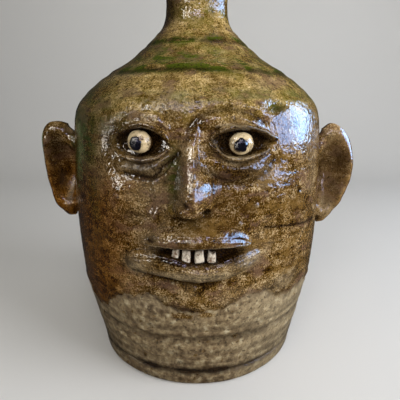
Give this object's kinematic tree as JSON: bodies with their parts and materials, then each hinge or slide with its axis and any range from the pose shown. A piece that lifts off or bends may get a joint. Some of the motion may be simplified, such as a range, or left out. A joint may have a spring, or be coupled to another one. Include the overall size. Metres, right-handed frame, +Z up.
{
  "type": "stoneware face jug",
  "caption": "Wheel-thrown stoneware jug with a strap handle behind and a folk face on its front: pressed-on nose, eyes with lids, lips, teeth and cupped ears, under an olive-brown glaze.",
  "frame": {"origin": "centre of the flat foot, on the jug's axis, where the jug stands", "axes": "+Z up along the jug's axis to the mouth, -Y out of the face, +X towards the viewer's right when the face is looked at; the handle is on +Y"},
  "size_m": [0.2199, 0.186, 0.248],
  "materials": {
    "alkaline_glaze": "glossy ash glaze, olive-ochre on the shoulder, mottled brown over the face, grey-brown and less glossy towards the foot",
    "pale_clay": "cream-yellow glazed clay with brown speckles",
    "dark_slip": "blue-black glossy slip",
    "white_clay": "off-white glazed clay with rusty specks"
  },
  "bodies": {
    "root": {"jug_body": "alkaline_glaze", "strap_handle": "alkaline_glaze", "left_ear": "alkaline_glaze", "right_ear": "alkaline_glaze", "nose": "alkaline_glaze", "left_upper_lid": "alkaline_glaze", "left_lower_lid": "alkaline_glaze", "right_upper_lid": "alkaline_glaze", "right_lower_lid": "alkaline_glaze", "upper_lip": "alkaline_glaze", "lower_lip": "alkaline_glaze", "left_eyeball": "pale_clay", "right_eyeball": "pale_clay", "left_pupil": "dark_slip", "right_pupil": "dark_slip", "tooth_1": "white_clay", "tooth_2": "white_clay", "tooth_3": "white_clay", "tooth_4": "white_clay"}
  },
  "joints": []
}
